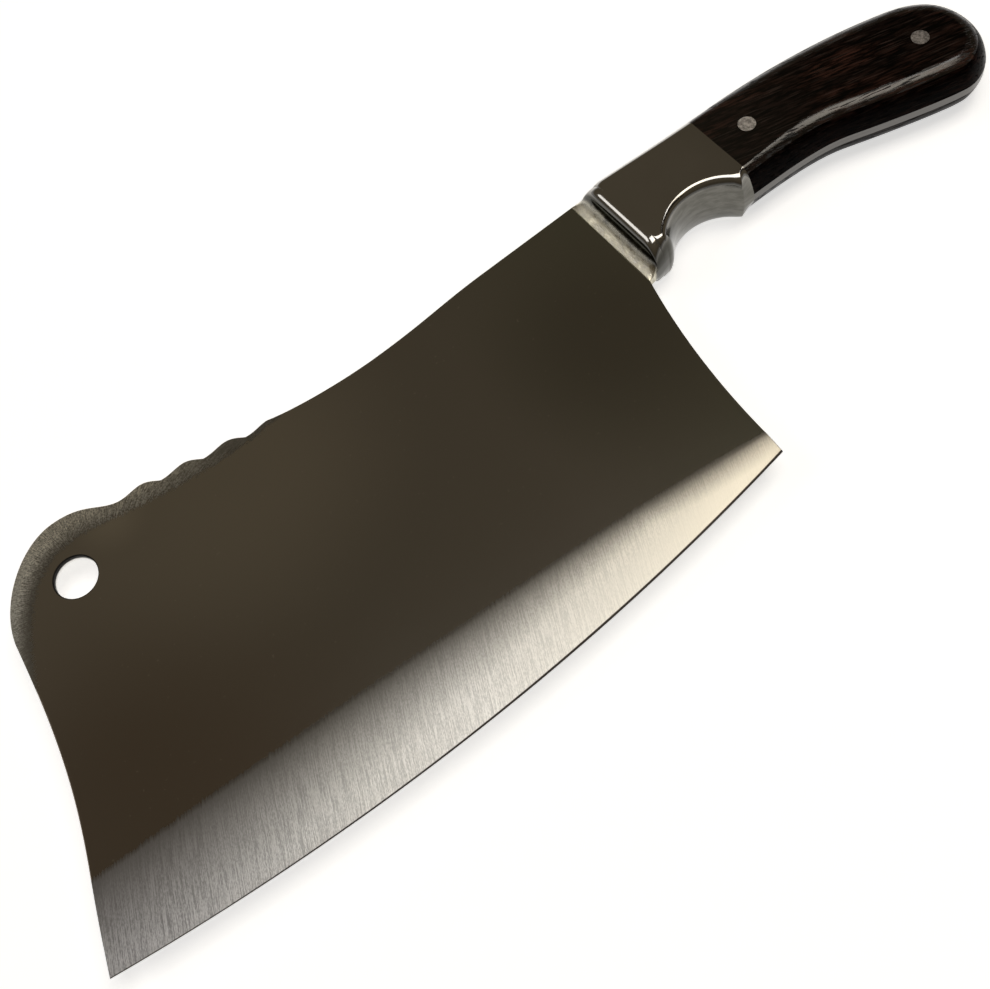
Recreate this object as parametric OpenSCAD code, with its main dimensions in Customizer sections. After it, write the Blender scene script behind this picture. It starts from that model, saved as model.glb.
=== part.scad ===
// Meat cleaver with a curved edge, a hanging ear, scalloped thumb rests, a finger-notched
// bolster and a riveted full-tang wooden grip. All sizes are in millimetres.
//
// The cleaver lies on its right side. X runs from the toe of the blade to the butt of the grip,
// Y from the cutting edge to the spine and Z up through the thickness. The origin is under the
// middle of the outline, on the surface that the grip rests on.
//
// The outline is drawn in the blank's own plane: the toe corner of the edge is the point 0, 0
// and the straight line from toe to heel is the X axis.

/* [Blade] */
// Straight distance from the toe corner to the heel corner of the edge
edge_chord = 200; // [170:1:230]
// How far the curved edge bows below that straight line
edge_bow = 7.8; // [5:0.1:11]
// Thickness of the steel blank: blade and tang
plate_t = 2.5; // [2:0.1:3.5]
// Thickness left at the cutting edge
edge_t = 0.4; // [0.2:0.05:0.8]
// Height of the spine over the edge line, where it meets the bolster
spine_h = 94.1; // [88:0.1:100]
// How far the spine dips between the bolster and the scallops
spine_dip = 1.9; // [0.8:0.1:3]
// Distance of the deepest point of that dip from the toe corner
spine_dip_x = 139; // [132:1:150]
// Height at which the hollow toe side runs into the ear
toe_side_h = 85; // [80:0.5:90]
// How far the toe corner stands forward of the ear
toe_lean = 20.8; // [16:0.1:26]
// Height of the heel side, from the edge line up to the bolster
heel_h = 60.5; // [56:0.5:64]
// How far the heel side sweeps back on its way up to the bolster
heel_sweep = 8.3; // [5:0.1:12]

/* [Ground bevels] */
// Height of the bevel line over the toe corner
bevel_toe = 22; // [14:0.5:30]
// Height of the bevel line over the middle of the edge line
bevel_mid = 16.5; // [11:0.5:22]
// Height of the bevel line over the heel corner
bevel_heel = 6; // [3:0.5:12]
// How full the bevel is: 1 is flat, more is rounder
bevel_fullness = 1.5; // [1.2:0.1:2]
// Width of the ground band round the ear, at its top
ear_grind_w = 7.5; // [4:0.5:9]
// Slope of that band
ear_grind_deg = 4; // [2:0.5:5]

/* [Ear and hanging hole] */
// Distance of the ear's highest point behind the toe corner
ear_top_x = 44.5; // [40:0.5:50]
// Height of the ear over the edge line
ear_h = 109.9; // [106:0.1:116]
// Diameter of the hanging hole
hole_d = 12; // [8:0.5:14]
// Distance of the hanging hole behind the toe corner
hole_x = 42.5; // [39:0.5:46]
// Distance of the hole's centre below the top of the ear
hole_drop = 18.2; // [15:0.1:22]
// Chamfer on both rims of the hole
hole_chamfer = 0.3; // [0.1:0.05:0.6]

/* [Scallops] */
// Number of whole scallops before the last one runs out into the spine
scallops = 3; // [2:1:3]
// Distance of the first scallop behind the ear's highest point
scallop_start = 17.5; // [15:0.5:20]
// Drop of the first scallop below the ear's highest point
scallop_depth = 6.7; // [4:0.1:9]
// Spacing of the scallops along the blade
scallop_pitch = 12.25; // [10:0.05:13]
// Fall of the spine from one scallop to the next
scallop_fall = 2.4; // [1.6:0.1:2.8]
// Rise of each scallop
scallop_rise = 1.75; // [0.8:0.05:2.4]

/* [Bolster] */
// Length of the bolster along the blade
bolster_l = 38.7; // [34:0.1:46]
// Radius of the finger notch
notch_r = 14.4; // [12:0.1:17]
// Distance of the notch's centre behind the front of the bolster
notch_x = 22.6; // [20:0.1:23.5]
// Height of the notch's crown over the front of the bolster's underside
notch_crown = 9; // [7:0.1:12]
// Rise of the underside from the blade to the front lobe
lobe_rise = 2.2; // [1:0.1:3]
// Rounding of the front lobe below the notch
lobe_r = 3.5; // [1:0.1:4]
// Rounding of the rear lobe below the notch
kink_r = 1; // [0.4:0.1:2]
// How far the flank of the bolster leans in
flank_lean = 0.4; // [0.1:0.1:1.5]
// How far the rounded edge of the bolster reaches in
flank_reach = 3.4; // [2:0.1:5]
// Length over which the bolster's section changes into the one at the joint
flank_blend = 4.5; // [3:0.5:8]
// How far the bolster's front stands proud of the blade's face
seam_step = 0.25; // [0.1:0.05:0.6]
// Slope of the front ramp where it leaves the blade
ramp_start = 25; // [10:1:40]
// Slope of the front ramp where it reaches the rounded edge
ramp_end = 80; // [65:1:86]
// Rounding between the front ramp and the side of the bolster
ramp_edge_r = 3; // [0.5:0.1:4]
// Rounding of the side's two corners over the front ramp
corner_r = 2.5; // [0.5:0.1:4]
// Steel left over and under the tang's neck inside the bolster
neck_wall = 4; // [3:0.1:5]
// Room round the tang's neck in its pocket
neck_gap = 0.1; // [0.05:0.05:0.3]

/* [Grip] */
// Length of the wooden grip
grip_l = 81.2; // [70:0.1:100]
// Thickness over both sides of the grip and of the bolster
grip_t = 17.5; // [14:0.1:22]
// Height of the grip where it meets the bolster
grip_h = 30.1; // [27:0.1:33]
// Fall of the upper line over the length of the bolster
grip_fall = 1.15; // [0:0.05:3]
// Drop of the upper shoulder of the butt below the front of the upper line
shoulder_drop = 8.8; // [6:0.1:13]
// Distance of that shoulder from the end of the butt
shoulder_in = 15.7; // [12:0.1:20]
// Drop of the rearmost point of the butt
butt_drop = 27.5; // [24:0.1:32]
// Drop of the hooked lower corner of the butt
hook_drop = 43.5; // [40:0.1:47]
// Distance of that corner from the end of the butt
hook_in = 14.5; // [11:0.1:18]
// Length of the straight stretch of the underside behind the bolster
palm_l = 35.2; // [30:0.1:40]
// Drop of the underside at the end of that stretch, below the grip's lower front corner
palm_drop = 4.3; // [2:0.1:7]
// How far the flank of the grip leans in
grip_lean = 1.6; // [1:0.1:3]
// How far the rounded edge of the grip reaches in
grip_reach = 6.8; // [5.5:0.1:7.5]
// Length over which the section at the joint changes into the grip's
grip_blend = 22; // [12:1:30]

/* [Section at the joint] */
// How far the flank leans in where the bolster meets the grip
joint_lean = 2.3; // [0.8:0.1:2.6]
// How far the rounded edge reaches in where the bolster meets the grip
joint_reach = 5; // [4:0.1:6]

/* [Rivets] */
// Diameter of the flush rivet heads
rivet_head_d = 5; // [4:0.1:8]
// Thickness of a rivet head
rivet_head_t = 2; // [1:0.1:3]
// Outside diameter of the sleeve half
rivet_sleeve_d = 3.6; // [3:0.1:3.8]
// Diameter of the stud half's shank
rivet_stud_d = 2.2; // [1.6:0.1:2.6]
// Room round the rivets in the scales and the tang
rivet_gap = 0.05; // [0.02:0.01:0.2]
// End play of the stud in the sleeve, and of the sleeve over the stud's head
rivet_end_gap = 0.5; // [0.2:0.1:1]
// Distance of the front rivet behind the bolster
rivet_front = 10.5; // [7:0.1:16]
// Distance of the rear rivet from the end of the butt
rivet_rear = 17.2; // [13:0.1:24]

/* [Hidden] */

$fn = 64;

// Stations along the length
bolster_x = edge_chord + heel_sweep;
joint_x = bolster_x + bolster_l;
butt_x = joint_x + grip_l;

// Heights at the joint of bolster and grip
grip_top = spine_h - grip_fall;
grip_bottom = grip_top - grip_h;

// Half thicknesses
half_t = grip_t / 2;
half_plate = plate_t / 2;

// Neck of the tang inside the bolster
notch_top = heel_h + notch_crown;
neck_low = notch_top + neck_wall;
neck_high = grip_top - neck_wall;

// Anything well clear of the outline
clear = 20;

function bezier(a, b, c, d, n) =
    [for (i = [0:n]) let (t = i / n, s = 1 - t) s*s*s*a + 3*s*s*t*b + 3*s*t*t*c + t*t*t*d];

function arc(centre, r, a0, a1, n) =
    [for (i = [0:n]) let (a = a0 + (a1 - a0) * i / n) centre + r * [cos(a), sin(a)]];

function tail(list) = [for (i = [1:len(list) - 1]) list[i]];

function mix(a, b, w) = a + (b - a) * w;

function ease(w) = let (k = min(1, max(0, w))) k * k * (3 - 2 * k);

function unit(v) = v / norm(v);

// Toe side: hollow, and nearly upright where it meets the ear
function toe_side() = bezier([0, 0], [0.455 * toe_lean, 0.345 * toe_side_h],
    [0.785 * toe_lean, 0.45 * toe_side_h], [toe_lean, toe_side_h], 24);

// Ear: a full round head that runs out into the first scallop
ear_top = [ear_top_x, ear_h];
ear_foot = [ear_top_x + scallop_start, ear_h - scallop_depth];
function ear() = concat(
    bezier([toe_lean, toe_side_h], [toe_lean + 1.3, toe_side_h + 12.7], ear_top - [10.2, 0], ear_top, 16),
    tail(bezier(ear_top, ear_top + [9.9, 0], ear_foot + [-5.5, 1.3], ear_foot, 10)));

// Scallops: round crests on a falling line, each steeper towards the bolster
function scallop_at(u) = ear_foot + [u * scallop_pitch, -u * scallop_fall
    + scallop_rise * pow(sin(180 * pow(u - floor(u), 1.5)), 1.17)];
scallop_steps = 12;
function scallop_row() = [for (i = [1:scallops * scallop_steps + 7]) scallop_at(i / scallop_steps)];

// Spine: down from the last crest into the dip, then up to the bolster
function spine() =
    let (start = scallop_at(scallops + 7 / scallop_steps),
        dip = [spine_dip_x, spine_h - spine_dip],
        flat = [edge_chord - 22, spine_h - 0.25])
    concat(
        tail(bezier(start, start + [7.7, -2.4], dip - [10.5, 0], dip, 12)),
        tail(bezier(dip, dip + [18, 0], flat - [16, 0.1], flat, 12)),
        [[bolster_x, spine_h]]);

// Heel side: upright at the heel corner, swept back to the bolster
heel_r = (heel_h * heel_h + heel_sweep * heel_sweep) / (2 * heel_sweep);
function heel_side() = arc([edge_chord + heel_r, 0], heel_r, 180 - asin(heel_h / heel_r), 180, 16);

// Cutting edge: one arc from heel to toe
edge_r = (edge_chord * edge_chord / 4 + edge_bow * edge_bow) / (2 * edge_bow);
edge_half_angle = asin(edge_chord / 2 / edge_r);
function edge_line() = arc([edge_chord / 2, edge_r - edge_bow], edge_r,
    -90 + edge_half_angle, -90 - edge_half_angle, 48);
function edge_y(x) = edge_r - edge_bow - sqrt(edge_r * edge_r - pow(x - edge_chord / 2, 2));

// Grip: upper line, round butt with a hooked lower corner, and underside
grip_front_top = [joint_x, grip_top];
grip_front_low = [joint_x, grip_bottom];
shoulder = [butt_x - shoulder_in, grip_top - shoulder_drop];
butt = [butt_x, grip_top - butt_drop];
hook = [butt_x - hook_in, grip_top - hook_drop];
palm = [joint_x + palm_l, grip_bottom - palm_drop];
shoulder_dir = [cos(17), -sin(17)];
palm_dir = [-cos(19.5), sin(19.5)];
function grip_outline() = concat(
    bezier(grip_front_top, grip_front_top + [10, -0.2], shoulder - 31 * shoulder_dir, shoulder, 20),
    tail(bezier(shoulder, shoulder + 14.4 * shoulder_dir, butt + [0, 5.7], butt, 14)),
    tail(bezier(butt, butt - [0, 11.7], hook + [5, 0], hook, 14)),
    tail(bezier(hook, hook - [5, 0], palm - 5 * palm_dir, palm, 10)),
    tail(bezier(palm, palm + 7 * palm_dir, grip_front_low + [24, 0], grip_front_low, 16)));

// Whole blank: blade, neck and tang
function blank() = concat(
    toe_side(),
    tail(ear()),
    scallop_row(),
    spine(),
    [[bolster_x, neck_high], [joint_x, neck_high]],
    grip_outline(),
    [[joint_x, neck_low], [bolster_x, neck_low]],
    heel_side(),
    [for (i = [1:47]) edge_line()[i]]);

// Height of the middle of the grip at a distance along it, taken from the outline itself
outline_pts = grip_outline();
function crossing(x, i0, i1) = [for (i = [i0:i1]) let (a = outline_pts[i], b = outline_pts[i + 1])
    if ((a[0] - x) * (b[0] - x) <= 0 && a[0] != b[0]) mix(a[1], b[1], (x - a[0]) / (b[0] - a[0]))][0];
function grip_middle(x) = (crossing(x, 0, 33) + crossing(x, 34, len(outline_pts) - 2)) / 2;
front_rivet_at = [joint_x + rivet_front, grip_middle(joint_x + rivet_front)];
rear_rivet_at = [butt_x - rivet_rear, grip_middle(butt_x - rivet_rear)];

// Solid through a stack of rings with the same number of points. Each end is closed by the faces in caps.
function one_cap(n) = [[for (i = [0:n - 1]) i]];
function rung_caps(n) = [for (i = [0:ceil(n / 2) - 2])
    i + 1 < n - 2 - i ? [i, i + 1, n - 2 - i, n - 1 - i] : [i, i + 1, n - 1 - i]];
module loft(rings, caps) {
    n = len(rings[0]);
    m = len(rings);
    polyhedron(
        points = [for (r = rings) each r],
        faces = concat(
            [for (c = caps) [for (i = [len(c) - 1:-1:0]) c[i]]],
            [for (c = caps) [for (i = c) (m - 1) * n + i]],
            [for (k = [0:m - 2], i = [0:n - 1]) let (j = (i + 1) % n)
                each [[k * n + i, k * n + j, (k + 1) * n + j], [k * n + i, (k + 1) * n + j, (k + 1) * n + i]]]));
}

// Moves the blank's plane to the frame described at the top
module in_frame() {
    translate([-butt_x / 2, -(ear_h - edge_bow) / 2, half_t]) children();
}

// Bevel of the edge on one face: the cutter lies above the ground surface
function bevel_line(x) = let (u = x / edge_chord)
    bevel_toe * (1 - u) * (1 - 2 * u) + bevel_mid * 4 * u * (1 - u) + bevel_heel * u * (2 * u - 1);
function bevel_z(f) = edge_t / 2 + (half_plate - edge_t / 2) * (1 - pow(1 - f, bevel_fullness));
bevel_steps = [0, 0.2, 0.4, 0.6, 0.8, 1];
function bevel_ring(x) =
    let (y0 = edge_y(x), w = bevel_line(x) - y0,
        first = (bevel_z(bevel_steps[1]) - bevel_z(0)) / bevel_steps[1],
        last = (bevel_z(1) - bevel_z(bevel_steps[4])) / (1 - bevel_steps[4]),
        out = edge_t / 4 / first)
    concat(
        [[x, y0 - out * w, edge_t / 4], [x, y0 - out * w, clear]],
        [[x, y0 + 1.6 * w, clear], [x, y0 + 1.6 * w, half_plate + 0.6 * last]],
        [for (i = [5:-1:0]) [x, y0 + bevel_steps[i] * w, bevel_z(bevel_steps[i])]]);
module edge_bevel() {
    rings = [for (i = [-1:26]) bevel_ring(edge_chord * i / 25)];
    loft(rings, one_cap(len(rings[0])));
}

// Ground band round the ear and along the scallops on one face
grind_crown = ear_top + [2.5, -ear_grind_w];
scallop_end = scallop_at(scallops + 7 / scallop_steps);
function grind_path() = concat(
    bezier([toe_lean - 2.8, toe_side_h - 15], [toe_lean + 3.6, toe_side_h + 2.5],
        grind_crown - [15, 0], grind_crown, 16),
    tail(bezier(grind_crown, grind_crown + [11, 0], scallop_end + [-31, -3], scallop_end + [4, -0.5], 18)));
function grind_ring(path, i) =
    let (n = len(path),
        dir = unit(path[min(i + 1, n - 1)] - path[max(i - 1, 0)]),
        out = [-dir[1], dir[0]],
        slope = tan(ear_grind_deg),
        p = path[i] - 3 * out,
        q = path[i] + 12 * out)
    [[p[0], p[1], half_plate + 3 * slope], [p[0], p[1], clear],
        [q[0], q[1], clear], [q[0], q[1], half_plate - 12 * slope]];
module ear_grind() {
    path = grind_path();
    loft([for (i = [0:len(path) - 1]) grind_ring(path, i)], one_cap(4));
}

module on_both_faces() {
    children();
    mirror([0, 0, 1]) children();
}

module blade() {
    color([0.24, 0.21, 0.17])
    in_frame() difference() {
        translate([0, 0, -half_plate]) linear_extrude(plate_t) polygon(blank());
        on_both_faces() edge_bevel();
        on_both_faces() ear_grind();
        translate([hole_x, ear_h - hole_drop, 0]) {
            cylinder(d = hole_d, h = 2 * clear, center = true);
            on_both_faces() translate([0, 0, half_plate - hole_chamfer])
                cylinder(d1 = hole_d, d2 = hole_d + 4 * hole_chamfer, h = 2 * hole_chamfer);
        }
        for (at = [front_rivet_at, rear_rivet_at])
            translate([at[0], at[1], 0]) cylinder(d = rivet_sleeve_d + 2 * rivet_gap, h = 2 * clear, center = true);
    }
}

// Section of the flank, from the tang's face up to the flat side: how far in, and how high
function flank_in(t, lean, reach) = 2 * t * (1 - t) * lean + t * t * reach;
function flank_z(t) = half_t - (half_t - half_plate) * (1 - t) * (1 - t);
flank_steps = [0, 0.2, 0.38, 0.54, 0.68, 0.8, 0.9, 1];

// Front ramp of the bolster: a hollow arc from the blade up to a rounded edge
ramp_z0 = half_plate + seam_step;
ramp_r = (half_t - ramp_z0 - ramp_edge_r * (1 - cos(ramp_end))) / (cos(ramp_start) - cos(ramp_end));
ramp_hollow = ramp_r * (sin(ramp_end) - sin(ramp_start));
ramp_l = ramp_hollow + ramp_edge_r * sin(ramp_end);
function ramp_z(u) =
    u >= ramp_l ? half_t :
    u >= ramp_hollow ? half_t - ramp_edge_r + sqrt(pow(ramp_edge_r, 2) - pow(ramp_l - u, 2)) :
    ramp_z0 + ramp_r * cos(ramp_start) - sqrt(pow(ramp_r, 2) - pow(u + ramp_r * sin(ramp_start), 2));
function ramp_share(x) = (ramp_z(max(0, x - bolster_x)) - half_plate) / (half_t - half_plate);
ramp_stations = concat(
    [for (k = [0.75, 0.45, 0.2]) ramp_l + k * corner_r],
    [for (i = [0:6]) ramp_edge_r * sin(ramp_end) * (1 - sin(90 * i / 6)) + ramp_hollow],
    [for (i = [1:8]) ramp_hollow * (1 - pow(i / 8, 1.3))]);

// How far the side is drawn in at those corners
function corner(x) = let (u = x - bolster_x - ramp_l)
    u >= corner_r ? 0 : u <= 0 ? corner_r : corner_r - sqrt(pow(corner_r, 2) - pow(corner_r - u, 2));

// Underside of the bolster from the joint to the blade, drawn in by d
function bolster_under(d) =
    let (front = heel_h + lobe_rise + d, rear = grip_bottom + d,
        c = [bolster_x + notch_x, notch_top - notch_r], r = notch_r + d,
        fr = max(0.3, lobe_r - d), kr = max(0.3, kink_r - d),
        lobe = [c[0] - sqrt(pow(r + fr, 2) - pow(front + fr - c[1], 2)), front + fr],
        kink = [c[0] + sqrt(pow(r + kr, 2) - pow(rear + kr - c[1], 2)), rear + kr],
        la = atan2(c[1] - lobe[1], c[0] - lobe[0]),
        ka = atan2(c[1] - kink[1], c[0] - kink[0]),
        ahead = lobe[0] - bolster_x,
        squeeze = min(1, 0.97 * ahead / ramp_stations[0]))
    concat(
        [[joint_x, rear]],
        arc(kink, kr, -90, ka < 0 ? ka : ka - 360, 6),
        tail(arc(c, r, ka + 180, la + 180, 24)),
        tail(arc(lobe, fr, la, -90, 8)),
        [for (u = squeeze * ramp_stations) [bolster_x + u, heel_h + d + lobe_rise * u / ahead]]);

// Ring of the bolster at a height of the flank. The section changes into the one at the joint: evenly along
// the upper side, and just in front of the joint along the lower one. On the ramp the section keeps its
// shape and loses height, so the corners between ramp and flanks are round.
function top_share(x) = mix(0.5, 1, ease((x - bolster_x) / bolster_l));
function nearness(x) = ease(1 - (joint_x - x) / flank_blend);
function top_line(x) = mix(spine_h, grip_top, (x - bolster_x) / bolster_l);
function bolster_ring(t) =
    let (here = flank_in(t, flank_lean, flank_reach), there = flank_in(t, joint_lean, joint_reach),
        a = bolster_under(here), b = bolster_under(there), rise = flank_z(t) - half_plate, n = len(a),
        low = [for (i = [0:n - 1]) mix(a[i], b[i], nearness(a[i][0]))])
    concat(
        [for (i = [n - 1:-1:0]) let (x = low[i][0])
            [x, top_line(x) - mix(here, there, top_share(x)) - t * t * corner(x), half_plate + rise * ramp_share(x)]],
        [for (p = low) [p[0], p[1] + t * t * corner(p[0]), half_plate + rise * ramp_share(p[0])]]);

function at_height(list, z) = [for (p = list) [p[0], p[1], z]];

// One half of the bolster. The two halves close round the neck and meet above and below it.
module bolster_half() {
    difference() {
        loft(concat([at_height(bolster_ring(0), 0)], [for (t = flank_steps) bolster_ring(t)]),
            rung_caps(len(bolster_ring(0))));
        translate([bolster_x - clear, neck_low - neck_gap, -half_plate])
            cube([bolster_l + 2 * clear, neck_high - neck_low + 2 * neck_gap, plate_t]);
    }
}

module left_bolster() {
    color([0.55, 0.54, 0.51]) in_frame() bolster_half();
}

module right_bolster() {
    color([0.55, 0.54, 0.51]) in_frame() mirror([0, 0, 1]) bolster_half();
}

// Outline of the grip drawn in by the flank's section, which changes behind the bolster
function scale_ring(t) =
    let (n = len(outline_pts))
    [for (i = [0:n - 1])
        let (p = outline_pts[i],
            dir = unit(outline_pts[min(i + 1, n - 1)] - outline_pts[max(i - 1, 0)]),
            inward = i == 0 ? [0, -1] : i == n - 1 ? [0, 1] : [dir[1], -dir[0]],
            w = ease((p[0] - joint_x) / grip_blend),
            d = flank_in(t, mix(joint_lean, grip_lean, w), mix(joint_reach, grip_reach, w)),
            q = p + d * inward)
        [q[0], q[1], flank_z(t)]];

module rivet_bores() {
    for (at = [front_rivet_at, rear_rivet_at]) translate([at[0], at[1], 0]) {
        cylinder(d = rivet_sleeve_d + 2 * rivet_gap, h = 2 * clear, center = true);
        translate([0, 0, half_t - rivet_head_t]) cylinder(d = rivet_head_d + 2 * rivet_gap, h = clear);
    }
}

module scale_half() {
    difference() {
        loft([for (t = flank_steps) scale_ring(t)], rung_caps(len(outline_pts)));
        rivet_bores();
    }
}

module left_scale() {
    color([0.12, 0.06, 0.05]) in_frame() scale_half();
}

module right_scale() {
    color([0.12, 0.06, 0.05]) in_frame() mirror([0, 0, 1]) scale_half();
}

// Two-part rivet: the sleeve comes from the left side, the stud from the right
sleeve_end = -(half_t - rivet_head_t - rivet_end_gap);
sleeve_floor = half_t - rivet_head_t;
module rivet_sleeve() {
    difference() {
        union() {
            translate([0, 0, sleeve_floor]) cylinder(d = rivet_head_d, h = rivet_head_t);
            translate([0, 0, sleeve_end]) cylinder(d = rivet_sleeve_d, h = half_t - rivet_head_t / 2 - sleeve_end);
        }
        translate([0, 0, sleeve_end - 1]) cylinder(d = rivet_stud_d, h = sleeve_floor - sleeve_end + 1);
    }
}

module rivet_stud() {
    translate([0, 0, -half_t]) {
        cylinder(d = rivet_head_d, h = rivet_head_t);
        cylinder(d = rivet_stud_d, h = half_t + sleeve_floor - rivet_end_gap);
    }
}

module front_rivet_sleeve() {
    color([0.44, 0.42, 0.38]) in_frame() translate([front_rivet_at[0], front_rivet_at[1], 0]) rivet_sleeve();
}

module front_rivet_stud() {
    color([0.44, 0.42, 0.38]) in_frame() translate([front_rivet_at[0], front_rivet_at[1], 0]) rivet_stud();
}

module rear_rivet_sleeve() {
    color([0.44, 0.42, 0.38]) in_frame() translate([rear_rivet_at[0], rear_rivet_at[1], 0]) rivet_sleeve();
}

module rear_rivet_stud() {
    color([0.44, 0.42, 0.38]) in_frame() translate([rear_rivet_at[0], rear_rivet_at[1], 0]) rivet_stud();
}

blade();
left_bolster();
right_bolster();
left_scale();
right_scale();
front_rivet_sleeve();
front_rivet_stud();
rear_rivet_sleeve();
rear_rivet_stud();
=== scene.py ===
"""Looks of the meat cleaver: camera, studio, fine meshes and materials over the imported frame."""

import math

import bpy
import numpy as np
from mathutils import Matrix, Vector
from mathutils.geometry import delaunay_2d_cdt


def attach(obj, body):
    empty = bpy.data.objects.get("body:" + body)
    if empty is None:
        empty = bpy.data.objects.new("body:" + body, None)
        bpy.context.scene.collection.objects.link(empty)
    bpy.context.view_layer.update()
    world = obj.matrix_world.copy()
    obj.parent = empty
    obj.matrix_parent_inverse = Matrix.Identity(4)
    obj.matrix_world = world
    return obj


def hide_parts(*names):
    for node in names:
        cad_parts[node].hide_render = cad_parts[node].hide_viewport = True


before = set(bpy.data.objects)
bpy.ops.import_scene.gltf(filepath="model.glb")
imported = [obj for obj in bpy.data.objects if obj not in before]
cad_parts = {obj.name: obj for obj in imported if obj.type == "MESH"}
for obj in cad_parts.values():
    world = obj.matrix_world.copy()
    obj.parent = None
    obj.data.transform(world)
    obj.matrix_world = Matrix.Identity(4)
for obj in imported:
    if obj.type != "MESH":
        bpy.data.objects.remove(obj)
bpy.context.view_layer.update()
scene = bpy.context.scene
scene.view_settings.view_transform = "Standard"

# Sizes of the part in millimetres, under the names that its source uses

edge_chord, edge_bow = 200.0, 7.8
plate_t, edge_t = 2.5, 0.4
spine_h, spine_dip, spine_dip_x = 94.1, 1.9, 139.0
toe_side_h, toe_lean = 85.0, 20.8
heel_h, heel_sweep = 60.5, 8.3
bevel_toe, bevel_mid, bevel_heel, bevel_fullness = 22.0, 16.5, 6.0, 1.5
ear_grind_w, ear_grind_deg = 7.5, 4.0
ear_top_x, ear_h = 44.5, 109.9
hole_d, hole_x, hole_drop, hole_chamfer = 12.0, 42.5, 18.2, 0.3
scallops, scallop_start, scallop_depth = 3, 17.5, 6.7
scallop_pitch, scallop_fall, scallop_rise = 12.25, 2.4, 1.75
bolster_l, notch_r, notch_x, notch_crown = 38.7, 14.4, 22.6, 9.0
lobe_rise, lobe_r, kink_r = 2.2, 3.5, 1.0
flank_lean, flank_reach, flank_blend = 0.4, 3.4, 4.5
seam_step, ramp_start, ramp_end, ramp_edge_r, corner_r = 0.25, 25.0, 80.0, 3.0, 2.5
neck_wall, neck_gap = 4.0, 0.1
grip_l, grip_t, grip_h, grip_fall = 81.2, 17.5, 30.1, 1.15
shoulder_drop, shoulder_in, butt_drop = 8.8, 15.7, 27.5
hook_drop, hook_in, palm_l, palm_drop = 43.5, 14.5, 35.2, 4.3
grip_lean, grip_reach, grip_blend = 1.6, 6.8, 22.0
joint_lean, joint_reach = 2.3, 5.0
rivet_head_d, rivet_head_t, rivet_sleeve_d, rivet_gap = 5.0, 2.0, 3.6, 0.05
rivet_front, rivet_rear = 10.5, 17.2

bolster_x = edge_chord + heel_sweep
joint_x = bolster_x + bolster_l
butt_x = joint_x + grip_l
grip_top = spine_h - grip_fall
grip_bottom = grip_top - grip_h
half_t, half_plate = grip_t / 2, plate_t / 2
notch_top = heel_h + notch_crown
neck_low, neck_high = notch_top + neck_wall, grip_top - neck_wall
frame_shift = np.array([-butt_x / 2, -(ear_h - edge_bow) / 2, half_t])

# Detail of the meshes: broken edges and clearances in millimetres, then counts and shares

edge_break, edge_drop, bore_break = 0.2, 0.16, 0.05
rim_clear, hole_clear, grip_rim_clear, grip_hole_clear = 0.45, 0.5, 1.5, 1.0
hole_sides, bore_sides, rivet_sides = 96, 32, 48
dull_flank_rows, ridge_share = 16, 0.12
smooth_cosine = 0.8
scallop_steps, scallop_run_out = 24, 7 / 12

# Material slots of the blade and of a scale

face_slot, keen_slot, tang_slot, hole_slot, spine_slot = range(5)
ridge_slot, flank_slot = range(2)


def row(v):
    """A point of the blank's plane, in millimetres, as a point of the row frame in metres."""
    return (np.asarray(v, float) + frame_shift) / 1000


# Curves


def bezier(a, b, c, d, n):
    t = np.linspace(0, 1, n + 1)[:, None]
    s = 1 - t
    a, b, c, d = (np.asarray(p, float) for p in (a, b, c, d))
    return s**3 * a + 3 * s * s * t * b + 3 * s * t * t * c + t**3 * d


def arc(centre, r, a0, a1, n):
    a = np.radians(np.linspace(a0, a1, n + 1))
    return np.asarray(centre, float) + r * np.stack([np.cos(a), np.sin(a)], 1)


def ease(w):
    k = np.clip(w, 0, 1)
    return k * k * (3 - 2 * k)


def mix(a, b, w):
    return a + (b - a) * w


def unit(v):
    v = np.asarray(v, float)
    return v / np.maximum(np.linalg.norm(v, axis=-1, keepdims=True), 1e-12)


ear_top = np.array([ear_top_x, ear_h])
ear_foot = np.array([ear_top_x + scallop_start, ear_h - scallop_depth])


def scallop_at(u):
    u = np.asarray(u, float)
    crest = np.abs(np.sin(np.pi * (u - np.floor(u)) ** 1.5)) ** 1.17
    return ear_foot + np.stack([u * scallop_pitch, -u * scallop_fall + scallop_rise * crest], -1)


scallop_end = scallop_at(scallops + scallop_run_out)
edge_r = (edge_chord**2 / 4 + edge_bow**2) / (2 * edge_bow)
edge_half_angle = math.degrees(math.asin(edge_chord / 2 / edge_r))
heel_r = (heel_h**2 + heel_sweep**2) / (2 * heel_sweep)


def edge_y(x):
    return edge_r - edge_bow - np.sqrt(edge_r**2 - (x - edge_chord / 2) ** 2)


def bevel_line(x):
    u = x / edge_chord
    return bevel_toe * (1 - u) * (1 - 2 * u) + bevel_mid * 4 * u * (1 - u) + bevel_heel * u * (2 * u - 1)


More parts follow.
